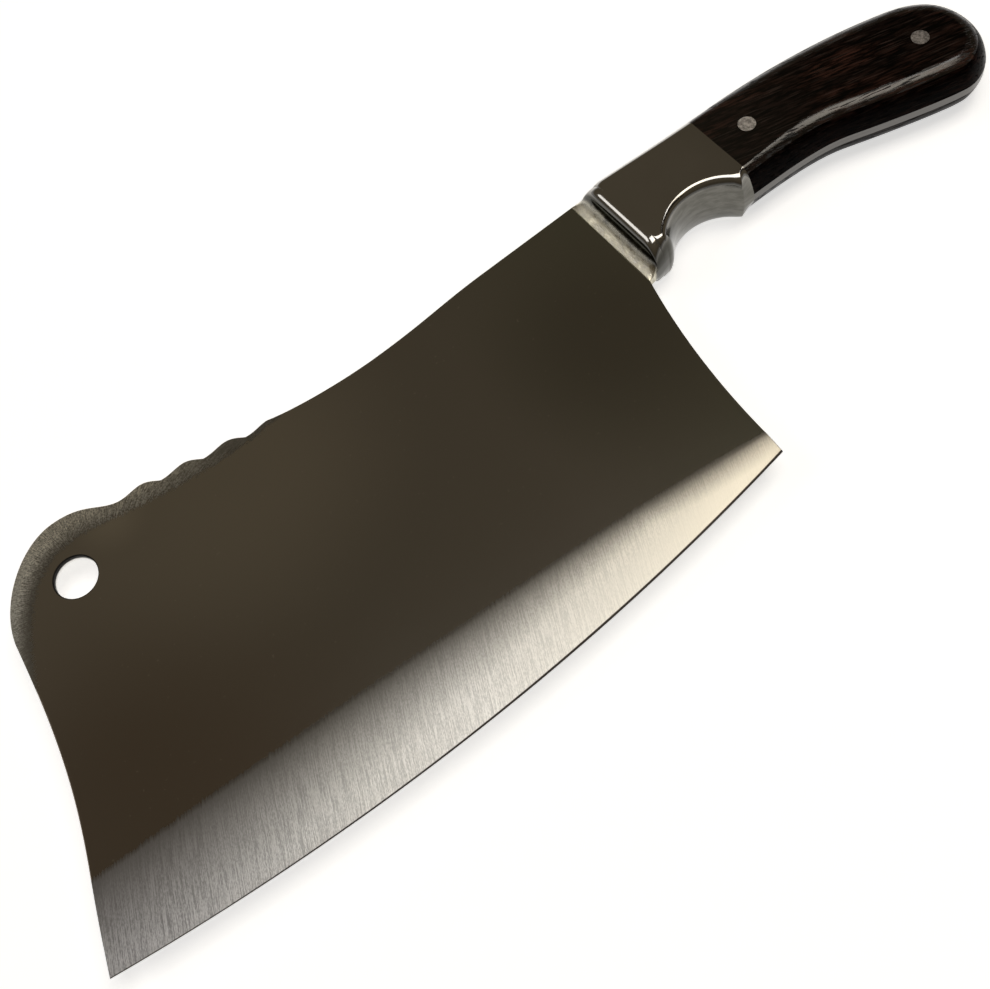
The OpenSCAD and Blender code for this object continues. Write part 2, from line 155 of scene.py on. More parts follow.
def grip_outline(k):
    front_top, front_low = np.array([joint_x, grip_top]), np.array([joint_x, grip_bottom])
    shoulder = np.array([butt_x - shoulder_in, grip_top - shoulder_drop])
    butt = np.array([butt_x, grip_top - butt_drop])
    hook = np.array([butt_x - hook_in, grip_top - hook_drop])
    palm = np.array([joint_x + palm_l, grip_bottom - palm_drop])
    fall, rise = math.radians(17), math.radians(19.5)
    down = np.array([math.cos(fall), -math.sin(fall)])
    up = np.array([-math.cos(rise), math.sin(rise)])
    return np.concatenate([
        bezier(front_top, front_top + [10, -0.2], shoulder - 31 * down, shoulder, 20 * k),
        bezier(shoulder, shoulder + 14.4 * down, butt + [0, 5.7], butt, 14 * k)[1:],
        bezier(butt, butt - [0, 11.7], hook + [5, 0], hook, 14 * k)[1:],
        bezier(hook, hook - [5, 0], palm - 5 * up, palm, 10 * k)[1:],
        bezier(palm, palm + 7 * up, front_low + [24, 0], front_low, 16 * k)[1:],
    ])


def middle_of_grip(x):
    pts = grip_outline(1)

    def crossing(part):
        for a, b in zip(part[:-1], part[1:]):
            if (a[0] - x) * (b[0] - x) <= 0 and a[0] != b[0]:
                return mix(a[1], b[1], (x - a[0]) / (b[0] - a[0]))

    return (crossing(pts[:35]) + crossing(pts[34:])) / 2


rivets_at = [(x, middle_of_grip(x)) for x in (joint_x + rivet_front, butt_x - rivet_rear)]

# Meshes


class Build:
    """Collects points, faces, corner normals and point values of one piece."""

    def __init__(self):
        self.points, self.faces, self.normals, self.mats, self.values = [], [], [], [], {}

    def add(self, pts, **values):
        start = len(self.points)
        self.points.extend(np.asarray(pts, float).tolist())
        for key, v in values.items():
            self.values.setdefault(key, {}).update({start + i: float(x) for i, x in enumerate(v)})
        return list(range(start, len(self.points)))

    def face(self, ids, normals=None, mat=0):
        self.faces.append(list(ids))
        self.mats.append(mat)
        if normals is None:
            p = np.array([self.points[i] for i in ids])
            n = np.zeros(3)
            for i in range(len(ids)):
                n += np.cross(p[i], p[(i + 1) % len(ids)])
            normals = [unit(n)] * len(ids)
        self.normals.append([np.asarray(n, float) for n in normals])

    def object(self, name, materials, mirrored=False):
        pts = np.array(self.points)
        flip = np.array([1, 1, -1.0]) if mirrored else np.ones(3)
        mesh = bpy.data.meshes.new(name)
        faces = [f[::-1] for f in self.faces] if mirrored else self.faces
        mesh.from_pydata([tuple(p) for p in row(pts * flip)], [], faces)
        mesh.polygons.foreach_set("material_index", self.mats)
        mesh.polygons.foreach_set("use_smooth", [True] * len(faces))
        for m in materials:
            mesh.materials.append(m)
        for key, v in self.values.items():
            data = mesh.attributes.new(key, "FLOAT", "POINT").data
            data.foreach_set("value", [v.get(i, 0.0) for i in range(len(pts))])
        mesh.update()
        loops = [tuple(n * flip) for ns in self.normals for n in (ns[::-1] if mirrored else ns)]
        mesh.normals_split_custom_set(loops)
        mesh.update()
        obj = bpy.data.objects.new(name, mesh)
        scene.collection.objects.link(obj)
        return obj


def inside(poly, pts):
    """Which points lie inside a closed loop."""
    a, b = poly, np.roll(poly, -1, 0)
    x, y = pts[:, 0][:, None], pts[:, 1][:, None]
    with np.errstate(divide="ignore", invalid="ignore"):
        crossing = (b[:, 0] - a[:, 0]) * (y - a[:, 1]) / (b[:, 1] - a[:, 1]) + a[:, 0]
        hit = ((a[:, 1] > y) != (b[:, 1] > y)) & (x < crossing)
    return hit.sum(1) % 2 == 1


def nearest(path, pts):
    """Distance to an open path, positive on its left, and the share of its length at the nearest point."""
    a, d = path[:-1], path[1:] - path[:-1]
    q = pts[:, None] - a
    t = np.clip((q * d).sum(2) / (d * d).sum(1), 0, 1)
    off = q - t[..., None] * d
    dist = np.linalg.norm(off, axis=2)
    k = dist.argmin(1)
    i = np.arange(len(pts))
    side = np.sign(d[k, 0] * q[i, k, 1] - d[k, 1] * q[i, k, 0])
    run = np.concatenate([[0], np.cumsum(np.linalg.norm(d, axis=1))])
    return side * dist[i, k], (run[k] + t[i, k] * np.linalg.norm(d[k], axis=1)) / run[-1]


def to_border(poly, pts):
    """Distance of points from a closed loop."""
    closed = np.concatenate([poly, poly[:1]])
    return np.abs(nearest(closed, pts)[0])


def triangles(loops, extra):
    """Triangles inside the first loop and outside the others, on the loops' points and the extra ones."""
    pts = np.concatenate(loops + [extra]) if len(extra) else np.concatenate(loops)
    edges, start = [], 0
    for loop in loops:
        n = len(loop)
        edges += [(start + i, start + (i + 1) % n) for i in range(n)]
        start += n
    out = delaunay_2d_cdt([Vector(p) for p in pts], edges, [], 0, 1e-6)
    back = [ids[0] for ids in out[3]]
    tris = np.array([[back[i] for i in f] for f in out[2]])
    c = pts[tris].mean(1)
    keep = inside(loops[0], c)
    for loop in loops[1:]:
        keep &= ~inside(loop, c)
    tris = tris[keep]
    p = pts[tris]
    area = np.cross(p[:, 1] - p[:, 0], p[:, 2] - p[:, 0])
    tris[area < 0] = tris[area < 0][:, ::-1]
    return pts, tris[np.abs(area) > 1e-9]


def drawn_in(loop, d):
    """The loop moved to its right by d, with mitred corners, and the normals to its left at each point."""
    seg = unit(np.roll(loop, -1, 0) - loop)
    left = np.stack([-seg[:, 1], seg[:, 0]], 1)
    before = np.roll(left, 1, 0)
    both = unit(left + before)
    cosine = np.maximum((both * left).sum(1), 0.5)
    return loop - both * (d / cosine)[:, None], left, before, both


# Blade: a plate whose two faces fall away at the edge bevel and round the ear

grind_crown = ear_top + [2.5, -ear_grind_w]
grind_path = np.concatenate([
    bezier([toe_lean - 2.8, toe_side_h - 15], [toe_lean + 3.6, toe_side_h + 2.5],
           grind_crown - [15, 0], grind_crown, 40),
    bezier(grind_crown, grind_crown + [11, 0], scallop_end + [-31, -3], scallop_end + [4, -0.5], 40)[1:],
])


def bevel_share(p):
    """Share of the bevel's width over the cutting edge, 1 where the flat face starts."""
    x = np.clip(p[:, 0], -8, edge_chord + 8)
    y0 = edge_y(x)
    f = (p[:, 1] - y0) / (bevel_line(x) - y0)
    return np.where(p[:, 0] > edge_chord + 8, 3.0, np.clip(f, 0, 3))


def over_edge(p):
    """Millimetres over the cutting edge."""
    x = np.clip(p[:, 0], 0, edge_chord)
    return np.where(p[:, 0] > edge_chord + 1, 50.0, np.clip(p[:, 1] - edge_y(x), 0, 50))


def grind_depth(p):
    """Millimetres into the ground band round the ear, negative on the face."""
    s, along = nearest(grind_path, p)
    by_ear = (p[:, 0] < scallop_end[0] + 9) & (p[:, 1] > toe_side_h - 18)
    return np.where(by_ear & (along > 0.0) & (along < 1.0), s, -9.0)


def face_height(p):
    f = np.minimum(bevel_share(p), 1)
    z = edge_t / 2 + (half_plate - edge_t / 2) * (1 - (1 - f) ** bevel_fullness)
    s = np.maximum(grind_depth(p), 0)
    soft = 2.4
    fall = np.where(s < soft, s * s / (2 * soft), s - soft / 2)
    return z - math.tan(math.radians(ear_grind_deg)) * fall


def face_normal(p):
    e = 0.02
    dx = (face_height(p + [e, 0]) - face_height(p - [e, 0])) / (2 * e)
    dy = (face_height(p + [0, e]) - face_height(p - [0, e])) / (2 * e)
    return unit(np.stack([-dx, -dy, np.ones(len(p))], 1))


def circle(at, r, n):
    return arc(at, r, 0, 360, n)[:-1]


def grid_of(xs, ys):
    """Points at all pairs of the two rows of values."""
    x, y = np.meshgrid(xs, ys)
    return np.stack([x.ravel(), y.ravel()], 1)


def level(v):
    return np.array([v[0], v[1], 0.0])


def blade_outline():
    """The blank's outline, and which of its sides are the cutting edge."""
    steps = scallop_steps * scallops + round(scallop_steps * scallop_run_out)
    parts = [
        bezier([0, 0], [0.455 * toe_lean, 0.345 * toe_side_h], [0.785 * toe_lean, 0.45 * toe_side_h],
               [toe_lean, toe_side_h], 64),
        bezier([toe_lean, toe_side_h], [toe_lean + 1.3, toe_side_h + 12.7],
               ear_top - [10.2, 0], ear_top, 48)[1:],
        bezier(ear_top, ear_top + [9.9, 0], ear_foot + [-5.5, 1.3], ear_foot, 28)[1:],
        scallop_at(np.arange(1, steps + 1) / scallop_steps),
    ]
    dip = np.array([spine_dip_x, spine_h - spine_dip])
    flat = np.array([edge_chord - 22, spine_h - 0.25])
    parts += [
        bezier(scallop_end, scallop_end + [7.7, -2.4], dip - [10.5, 0], dip, 30)[1:],
        bezier(dip, dip + [18, 0], flat - [16, 0.1], flat, 24)[1:],
        [[bolster_x, spine_h], [bolster_x, neck_high], [joint_x, neck_high]],
        grip_outline(3),
        [[joint_x, neck_low], [bolster_x, neck_low]],
        arc([edge_chord + heel_r, 0], heel_r, 180 - math.degrees(math.asin(heel_h / heel_r)), 180, 40),
    ]
    n_before = sum(len(p) for p in parts)
    centre = [edge_chord / 2, edge_r - edge_bow]
    parts.append(arc(centre, edge_r, -90 + edge_half_angle, -90 - edge_half_angle, 160)[1:-1])
    outline = np.concatenate([np.asarray(p, float) for p in parts])
    return outline, np.arange(len(outline)) >= n_before - 1


def blade_points(inner):
    """Points of a face: rows along the bevel, a close grid at the ear and a wide one elsewhere."""
    rows = np.array([0.03, 0.07, 0.12, 0.18, 0.25, 0.33, 0.42, 0.51, 0.6, 0.69, 0.78, 0.86, 0.93, 1.0, 1.06])
    x, share = grid_of(np.linspace(-1, edge_chord + 2, 130), rows).T
    y0 = edge_y(x)
    band = np.stack([x, y0 + share * (bevel_line(x) - y0)], 1)
    ear = grid_of(np.arange(14, 112, 1.0), np.arange(66, 111, 1.0))
    ear[:, 0] += 0.3 * (ear[:, 1] % 2)
    ear = ear[grind_depth(ear) > -2]
    wide = grid_of(np.arange(5, 330, 11.0), np.arange(-6, 112, 11.0))
    wide = wide[(bevel_share(wide) > 1.2) & (grind_depth(wide) < -3)]
    extra = np.concatenate([band, ear, wide])
    extra = extra[inside(inner[0], extra)]
    extra = extra[to_border(inner[0], extra) > rim_clear]
    for ring in inner[1:]:
        extra = extra[(to_border(ring, extra) > hole_clear) & ~inside(ring, extra)]
    return extra


def make_blade(materials):
    """Both faces, the broken edges round them, and the walls of the outline and the holes."""
    outline, is_edge = blade_outline()
    hole = circle([hole_x, ear_h - hole_drop], hole_d / 2, hole_sides)
    bores = [circle(at, rivet_sleeve_d / 2 + rivet_gap, bore_sides) for at in rivets_at]
    loops = [(outline, edge_break, is_edge), (hole, hole_chamfer, np.zeros(hole_sides, bool))]
    loops += [(bore, bore_break, np.zeros(bore_sides, bool)) for bore in bores]
    inner = [drawn_in(loop, d) for loop, d, _ in loops]
    rings = [ring for ring, *_ in inner]
    pts, tris = triangles(rings, blade_points(rings))
    z, nrm = face_height(pts), face_normal(pts)
    f, s, gap = bevel_share(pts), grind_depth(pts), over_edge(pts)
    b = Build()
    faces = {}
    for sign in (1, -1):
        up = np.array([1, 1, sign])
        faces[sign] = b.add(np.column_stack([pts, z * sign]), bevel_f=f, ear_s=s, edge_d=gap)
        for t in tris[:, ::sign]:
            b.face([faces[sign][i] for i in t], [nrm[i] * up for i in t], face_slot)
    start = 0
    for (loop, d, edge), (_, left, before, both) in zip(loops, inner):
        m = len(loop)
        zl = face_height(loop)
        tang = loop[:, 0] > bolster_x - 0.1
        if d == hole_chamfer:
            drop = np.full(m, hole_chamfer)
            break_slot, walls = hole_slot, np.full(m, hole_slot)
        else:
            drop = np.where(tang, 0.0, np.minimum(edge_drop, 0.5 * np.maximum(zl - edge_t / 2, 0)))
            break_slot, walls = face_slot, np.where(edge, keen_slot, np.where(tang, tang_slot, spine_slot))
        values = {"bevel_f": bevel_share(loop), "ear_s": grind_depth(loop), "edge_d": over_edge(loop)}
        rim = {k: b.add(np.column_stack([loop, (zl - drop) * k]), **values) for k in (1, -1)}
        smooth = (left * before).sum(1) > smooth_cosine
        for i in range(m):
            j = (i + 1) % m
            out_i = level(both[i] if smooth[i] else left[i])
            out_j = level(both[j] if smooth[j] else left[i])
            for k, surf in faces.items():
                up = np.array([1, 1, k])
                ni, nj = nrm[start + i] * up, nrm[start + j] * up
                ids = [surf[start + i], surf[start + j], rim[k][j], rim[k][i]]
                ns = [ni, nj, unit(nj + out_j), unit(ni + out_i)]
                b.face(ids[::k], ns[::k], break_slot)
            wall = [rim[1][i], rim[1][j], rim[-1][j], rim[-1][i]]
            b.face(wall, [out_i, out_j, out_j, out_i], int(walls[i]))
        start += m
    return b.object("blade_ground", materials)


# Section of the flanks, as in the part's source


def flank_in(t, lean, reach):
    return 2 * t * (1 - t) * lean + t * t * reach


def flank_z(t):
    return half_t - (half_t - half_plate) * (1 - t) ** 2


flank_t = np.linspace(0, 1, 29)


def grid_normals(grid):
    """Normals of a grid of points, by differences along both directions."""
    return unit(np.cross(np.gradient(grid, axis=0), np.gradient(grid, axis=1)))


def make_scale(name, materials, mirrored):
    """One grip half: the flank all round, the flat top and bottom, and the counterbored rivet holes."""
    pts = grip_outline(4)
    n = len(pts)
    along = np.empty_like(pts)
    along[1:-1] = pts[2:] - pts[:-2]
    along[0], along[-1] = pts[1] - pts[0], pts[-1] - pts[-2]
    along = unit(along)
    inward = np.stack([along[:, 1], -along[:, 0]], 1)
    inward[0], inward[-1] = [0, -1], [0, 1]
    w = ease((pts[:, 0] - joint_x) / grip_blend)
    grid = np.empty((n, len(flank_t), 3))
    for k, t in enumerate(flank_t):
        d = flank_in(t, mix(joint_lean, grip_lean, w), mix(joint_reach, grip_reach, w))
        grid[:, k, :2] = pts + d[:, None] * inward
        grid[:, k, 2] = flank_z(t)
    nrm = -grid_normals(grid)
    nrm[:, -1] = [0, 0, 1]
    b = Build()
    ids = np.array([b.add(grid[i], ridge=ease((1 - flank_t) / ridge_share)) for i in range(n)])
    for i in range(n - 1):
        for k in range(len(flank_t) - 1):
            c = [(i, k), (i, k + 1), (i + 1, k + 1), (i + 1, k)]
            slot = flank_slot if k < dull_flank_rows else ridge_slot
            b.face([ids[q] for q in c], [nrm[q] for q in c], slot)
    for k in range(len(flank_t) - 1):
        b.face([ids[n - 1, k], ids[n - 1, k + 1], ids[0, k + 1], ids[0, k]], mat=flank_slot)
    head_r, bore_r = rivet_head_d / 2 + rivet_gap, rivet_sleeve_d / 2 + rivet_gap
    rims = []
    for k, r, sign in ((-1, head_r, 1), (0, bore_r, -1)):
        rim = grid[:, k, :2]
        holes = [circle(at, r, rivet_sides) for at in rivets_at]
        extra = grid_of(np.arange(joint_x + 3, butt_x, 5.0), np.arange(40, 100, 5.0))
        extra = extra[inside(rim, extra)]
        extra = extra[to_border(rim, extra) > grip_rim_clear]
        for hole in holes:
            extra = extra[(to_border(hole, extra) > grip_hole_clear) & ~inside(hole, extra)]
        flat, tris = triangles([rim] + holes, extra)
        rest = b.add(np.column_stack([flat[n:], np.full(len(flat) - n, grid[0, k, 2])]))
        lookup = [int(i) for i in ids[:, k]] + rest
        for t in tris[:, ::sign]:
            b.face([lookup[i] for i in t])
        rims.append([rest[rivet_sides * j:rivet_sides * (j + 1)] for j in range(len(holes))])
    level_z = np.full(rivet_sides, half_t - rivet_head_t)
    for at, head, foot in zip(rivets_at, *rims):
        seat = b.add(np.column_stack([circle(at, head_r, rivet_sides), level_z]))
        mouth = b.add(np.column_stack([circle(at, bore_r, rivet_sides), level_z]))
        for ring_a, ring_b in ((head, seat), (seat, mouth), (mouth, foot)):
            for i in range(rivet_sides):
                m = (i + 1) % rivet_sides
                b.face([ring_a[i], ring_a[m], ring_b[m], ring_b[i]])
    return b.object(name, materials, mirrored)


# Bolster: rungs across it from the blade to the joint, each with both flanks

ramp_z0 = half_plate + seam_step
a0, a1 = math.radians(ramp_start), math.radians(ramp_end)
ramp_r = (half_t - ramp_z0 - ramp_edge_r * (1 - math.cos(a1))) / (math.cos(a0) - math.cos(a1))
ramp_l = ramp_r * (math.sin(a1) - math.sin(a0)) + ramp_edge_r * math.sin(a1)
ramp_centre = [-ramp_r * math.sin(a0), ramp_z0 + ramp_r * math.cos(a0)]
hollow = arc(ramp_centre, ramp_r, ramp_start - 90, ramp_end - 90, 30)
brow = arc([ramp_l, half_t - ramp_edge_r], ramp_edge_r, ramp_end + 90, 90, 24)[1:]
ramp_line = np.concatenate([hollow, brow])


def ramp_share(x):
    """Share of the full thickness over the plate that the ramp leaves."""
    return (np.interp(x - bolster_x, ramp_line[:, 0], ramp_line[:, 1]) - half_plate) / (half_t - half_plate)


def corner(x):
    """How far the side is drawn in at its two corners over the ramp."""
    u = np.clip(x - bolster_x - ramp_l, 0, corner_r)
    return corner_r - np.sqrt(np.maximum(corner_r**2 - (corner_r - u) ** 2, 0))


def bolster_under(d):
    """Underside from the joint to the blade, drawn in by d."""
    front, rear = heel_h + lobe_rise + d, grip_bottom + d
    c, r = np.array([bolster_x + notch_x, notch_top - notch_r]), notch_r + d
    fr, kr = max(0.3, lobe_r - d), max(0.3, kink_r - d)
    lobe = np.array([c[0] - math.sqrt((r + fr) ** 2 - (front + fr - c[1]) ** 2), front + fr])
    kink = np.array([c[0] + math.sqrt((r + kr) ** 2 - (rear + kr - c[1]) ** 2), rear + kr])
    la = math.degrees(math.atan2(c[1] - lobe[1], c[0] - lobe[0]))
    ka = math.degrees(math.atan2(c[1] - kink[1], c[0] - kink[0]))
    ka = ka if ka < 0 else ka - 360
    back = np.linspace(joint_x, kink[0], 12)[:-1]
    brink = ramp_l + (lobe[0] - bolster_x - ramp_l) * np.linspace(1, 0, 16)[1:-1] ** 2
    ahead = bolster_x + np.concatenate([brink, ramp_line[::-1, 0]])
    return np.concatenate([
        np.stack([back, np.full(len(back), rear)], 1),
        arc(kink, kr, -90, ka, 14),
        arc(c, r, ka + 180, la + 180, 72)[1:],
        arc(lobe, fr, la, -90, 20)[1:],
        np.stack([ahead, mix(front, heel_h + d, (lobe[0] - ahead) / (lobe[0] - bolster_x))], 1),
    ])


def make_bolster(name, materials, mirrored):
    """One bolster half: the loft over it, the pocket for the neck and the two ends."""
    half = []
    for t in flank_t:
        here, there = flank_in(t, flank_lean, flank_reach), flank_in(t, joint_lean, joint_reach)
        a, c = bolster_under(here), bolster_under(there)
        low = mix(a, c, ease(1 - (joint_x - a[:, 0]) / flank_blend)[:, None])
        x = low[:, 0]
        along = (x - bolster_x) / bolster_l
        top = mix(spine_h, grip_top, along) - mix(here, there, mix(0.5, 1, ease(along))) - t * t * corner(x)
        low[:, 1] += t * t * corner(x)
        z = half_plate + (flank_z(t) - half_plate) * ramp_share(x)
        half.append((np.column_stack([low, z]), np.column_stack([x, top, z])))
    under = [np.column_stack([half[0][0][:, :2], np.zeros(len(half[0][0]))])]
    over = [np.column_stack([half[0][1][:, :2], np.zeros(len(half[0][1]))])]
    columns = under + [h[0] for h in half] + [h[1] for h in half[::-1]] + over
    grid = np.stack(columns, 1)[::-1]
    nrm = grid_normals(grid)
    nrm *= np.where(nrm[:, [len(columns) // 2], 2:] < 0, -1, 1)
    b = Build()
    ids = np.array([b.add(g, flank=1 - q[:, 2] ** 2) for g, q in zip(grid, nrm)])
    n, m = ids.shape
    for i in range(n - 1):
        for k in range(m - 1):
            c = [(i, k), (i + 1, k), (i + 1, k + 1), (i, k + 1)]
            b.face([ids[q] for q in c], [nrm[q] for q in c])
    x = grid[:, 0, 0]
    lo, hi = neck_low - neck_gap, neck_high + neck_gap
    pocket = ((lo, 0), (lo, half_plate), (hi, half_plate), (hi, 0))
    lines = [b.add(np.column_stack([x, np.full(n, y), np.full(n, z)])) for y, z in pocket]
    chain = [list(ids[:, 0])] + lines + [list(ids[:, -1])]
    for p, q in zip(chain[:-1], chain[1:]):
        for i in range(n - 1):
            b.face([p[i], q[i], q[i + 1], p[i + 1]])
    for i in (0, n - 1):
        end = list(ids[i]) + [line[i] for line in lines[::-1]]
        b.face(end if i == 0 else end[::-1])
    return b.object(name, materials, mirrored)


# Materials, with the turns of the brush lines on the bevel and of the wood's fibre in degrees

brush_turn, fibre_turn = 24, 15


def material(name):
    m = bpy.data.materials.new(name)
    m.use_nodes = True
    tree = m.node_tree
    shader = next(n for n in tree.nodes if n.type == "BSDF_PRINCIPLED")
    return m, tree, shader


def node(tree, kind, inputs=(), **props):
    n = tree.nodes.new(kind)
    for key, v in props.items():
        setattr(n, key, v)
    for key, v in dict(inputs).items():
        if isinstance(v, bpy.types.NodeSocket):
            tree.links.new(v, n.inputs[key])
        else:
            n.inputs[key].default_value = v
    return n


def math_node(tree, op, a, b=0.0, c=0.0):
    return node(tree, "ShaderNodeMath", {0: a, 1: b, 2: c}, operation=op).outputs[0]


def own_place(tree):
    return node(tree, "ShaderNodeTexCoord").outputs["Object"]


def axis(tree, vector, k):
    return node(tree, "ShaderNodeSeparateXYZ", {0: vector}).outputs[k]


def value_of(tree, name):
    return node(tree, "ShaderNodeAttribute", attribute_name=name).outputs["Fac"]


def straight(tree, v, low, high, to_low=0.0, to_high=1.0, kind="LINEAR"):
    """A value mapped from one range to another and held at both ends."""
    inputs = {0: v, 1: low, 2: high, 3: to_low, 4: to_high}
    return node(tree, "ShaderNodeMapRange", inputs, interpolation_type=kind).outputs[0]


def ramp_to(tree, v, low, high):
    """The same from 0 to 1, with soft ends."""
    return straight(tree, v, low, high, kind="SMOOTHSTEP")


def near(tree, at, point, far, close):
    """1 close to a point and 0 far from it."""
    away = node(tree, "ShaderNodeVectorMath", {0: at, 1: point}, operation="DISTANCE").outputs["Value"]
    return ramp_to(tree, away, far, close)


def blend(tree, share, a, b):
    n = node(tree, "ShaderNodeMix", data_type="RGBA")
    for key, v in (("Factor", share), ("A", a), ("B", b)):
        sockets = [s for s in n.inputs if s.name == key and s.type in ("RGBA", "VALUE") and s.enabled]
        if isinstance(v, bpy.types.NodeSocket):
            tree.links.new(v, sockets[-1])
        else:
            sockets[-1].default_value = v
    return next(s for s in n.outputs if s.type == "RGBA" and s.enabled)


def noise(tree, at, detail, rough):
    inputs = {"Vector": at, "Scale": 1.0, "Detail": detail, "Roughness": rough}
    return node(tree, "ShaderNodeTexNoise", inputs).outputs[0]


def grain(tree, turn, scale, detail, rough, seed=0.0):
    """Noise on the piece's own coordinates, turned about Z by degrees and stretched."""
    inputs = {"Vector": own_place(tree), "Angle": math.radians(turn)}
    turned = node(tree, "ShaderNodeVectorRotate", inputs, rotation_type="Z_AXIS").outputs[0]
    shift = (seed, seed * 0.7, seed * 1.3)
    sized = node(tree, "ShaderNodeMapping", {"Vector": turned, "Location": shift, "Scale": scale})
    return noise(tree, sized.outputs[0], detail, rough)


def bump_by(tree, shader, height, strength, distance):
    bump = node(tree, "ShaderNodeBump", {"Strength": strength, "Distance": distance, "Height": height})
    tree.links.new(bump.outputs[0], shader.inputs["Normal"])


def rgb(r, g, b):
    return (r, g, b, 1.0)


def ear_brush(tree, at):
    """Short brush marks that run out from the hub of the ear."""
    hub = tuple(row((46, 84, 0)))
    away = node(tree, "ShaderNodeVectorMath", {0: at, 1: hub}, operation="SUBTRACT").outputs[0]
    angle = math_node(tree, "ARCTAN2", axis(tree, away, 1), axis(tree, away, 0))
    out = node(tree, "ShaderNodeVectorMath", {0: away}, operation="LENGTH").outputs["Value"]
    across, outward = math_node(tree, "MULTIPLY", angle, 110.0), math_node(tree, "MULTIPLY", out, 260.0)
    ray = noise(tree, node(tree, "ShaderNodeCombineXYZ", {0: across, 1: outward}).outputs[0], 3.0, 0.65)
    fine = grain(tree, 20, (2100, 2100, 2100), 2, 0.5, 9.0)
    both = math_node(tree, "MULTIPLY_ADD", fine, 0.4, math_node(tree, "MULTIPLY", ray, 0.6))
    return ramp_to(tree, both, 0.37, 0.63)


def face_tone_with_painted_light(tree, at, place, cloud):
    """The polished face, with painted light by the ear and the scallops and painted shade by the toe and the
    upper heel.
    """
    tone = blend(tree, cloud, rgb(0.39, 0.37, 0.345), rgb(0.41, 0.39, 0.365))
    # Painted light by the ear and the scallops, painted shade by the toe
    tone = blend(tree, near(tree, at, (-0.13, 0.03, 0.009), 0.08, 0.015), tone, rgb(0.51, 0.48, 0.445))
    tone = blend(tree, near(tree, at, (-0.15, -0.04, 0.009), 0.09, 0.03), tone, rgb(0.34, 0.29, 0.25))
    tone = blend(tree, near(tree, at, (-0.074, 0.039, 0.01), 0.057, 0.01), tone, rgb(0.56, 0.53, 0.485))
    tone = blend(tree, near(tree, at, (-0.106, 0.0495, 0.01), 0.013, 0.001), tone, rgb(0.68, 0.645, 0.59))
    # Painted shade towards the heel and at the upper heel
    tone = blend(tree, straight(tree, place, -0.01, 0.05), tone, rgb(0.325, 0.335, 0.285))
    tone = blend(tree, near(tree, at, (0.027, 0.003, 0.01), 0.043, 0.006), tone, rgb(0.285, 0.275, 0.245))
    speck = ramp_to(tree, grain(tree, 0, (1100, 1100, 1100), 0, 0.5, 2.0), 0.83, 0.88)
    return blend(tree, math_node(tree, "MULTIPLY", speck, 0.3), tone, rgb(0.75, 0.73, 0.7))


def bevel_tone_with_painted_light(tree, place, past, ragged, body, marks):
    """The ground bevel: dim where it starts, then brushed, and warmer towards the heel; the dim start is
    painted shade, and the rise from the toe and the warmth at the heel are painted light.
    """
    # Painted light: the tones rise from the toe and turn warm towards the heel
    on = straight(tree, place, -0.155, -0.095)
    low = blend(tree, on, rgb(0.32, 0.313, 0.315), rgb(0.37, 0.36, 0.34))
    low = blend(tree, past, low, rgb(0.36, 0.343, 0.3))
    high = blend(tree, on, rgb(0.56, 0.55, 0.553), rgb(0.65, 0.632, 0.597))
    warm = blend(tree, straight(tree, place, 0.01, 0.05), rgb(0.57, 0.542, 0.472), rgb(0.57, 0.528, 0.442))
    high = blend(tree, past, high, warm)
    # Painted shade: dark tones where the bevel starts
    start = blend(tree, on, rgb(0.08, 0.068, 0.055), rgb(0.062, 0.055, 0.045))
    first = blend(tree, on, rgb(0.132, 0.122, 0.112), rgb(0.088, 0.08, 0.068))
    first = blend(tree, straight(tree, ragged, 0.99, 0.94), start, first)
    return blend(tree, body, first, blend(tree, marks, low, high))


def ear_tone_with_painted_highlight(tree, place, brushed, ear_body):
    """The ground band, with a painted highlight brightest at the crown of the ear that fades along the
    scallops, and painted shade where it meets the face.
    """
    # Painted highlight: brightest at the crown of the ear, fading along the scallops
    crest = straight(tree, place, -0.148, -0.128)
    low = blend(tree, crest, rgb(0.19, 0.18, 0.157), rgb(0.3, 0.28, 0.24))
    high = blend(tree, crest, rgb(0.27, 0.26, 0.23), rgb(0.98, 0.94, 0.82))
    tone = blend(tree, brushed, low, high)
    tone = blend(tree, straight(tree, place, -0.097, -0.068), tone, rgb(0.3, 0.285, 0.245))
    # Painted shade: the band is dim where it meets the face
    rise = math_node(tree, "POWER", ear_body, straight(tree, place, -0.148, -0.106, 2.2, 0.7))
    return blend(tree, rise, rgb(0.13, 0.117, 0.095), tone)


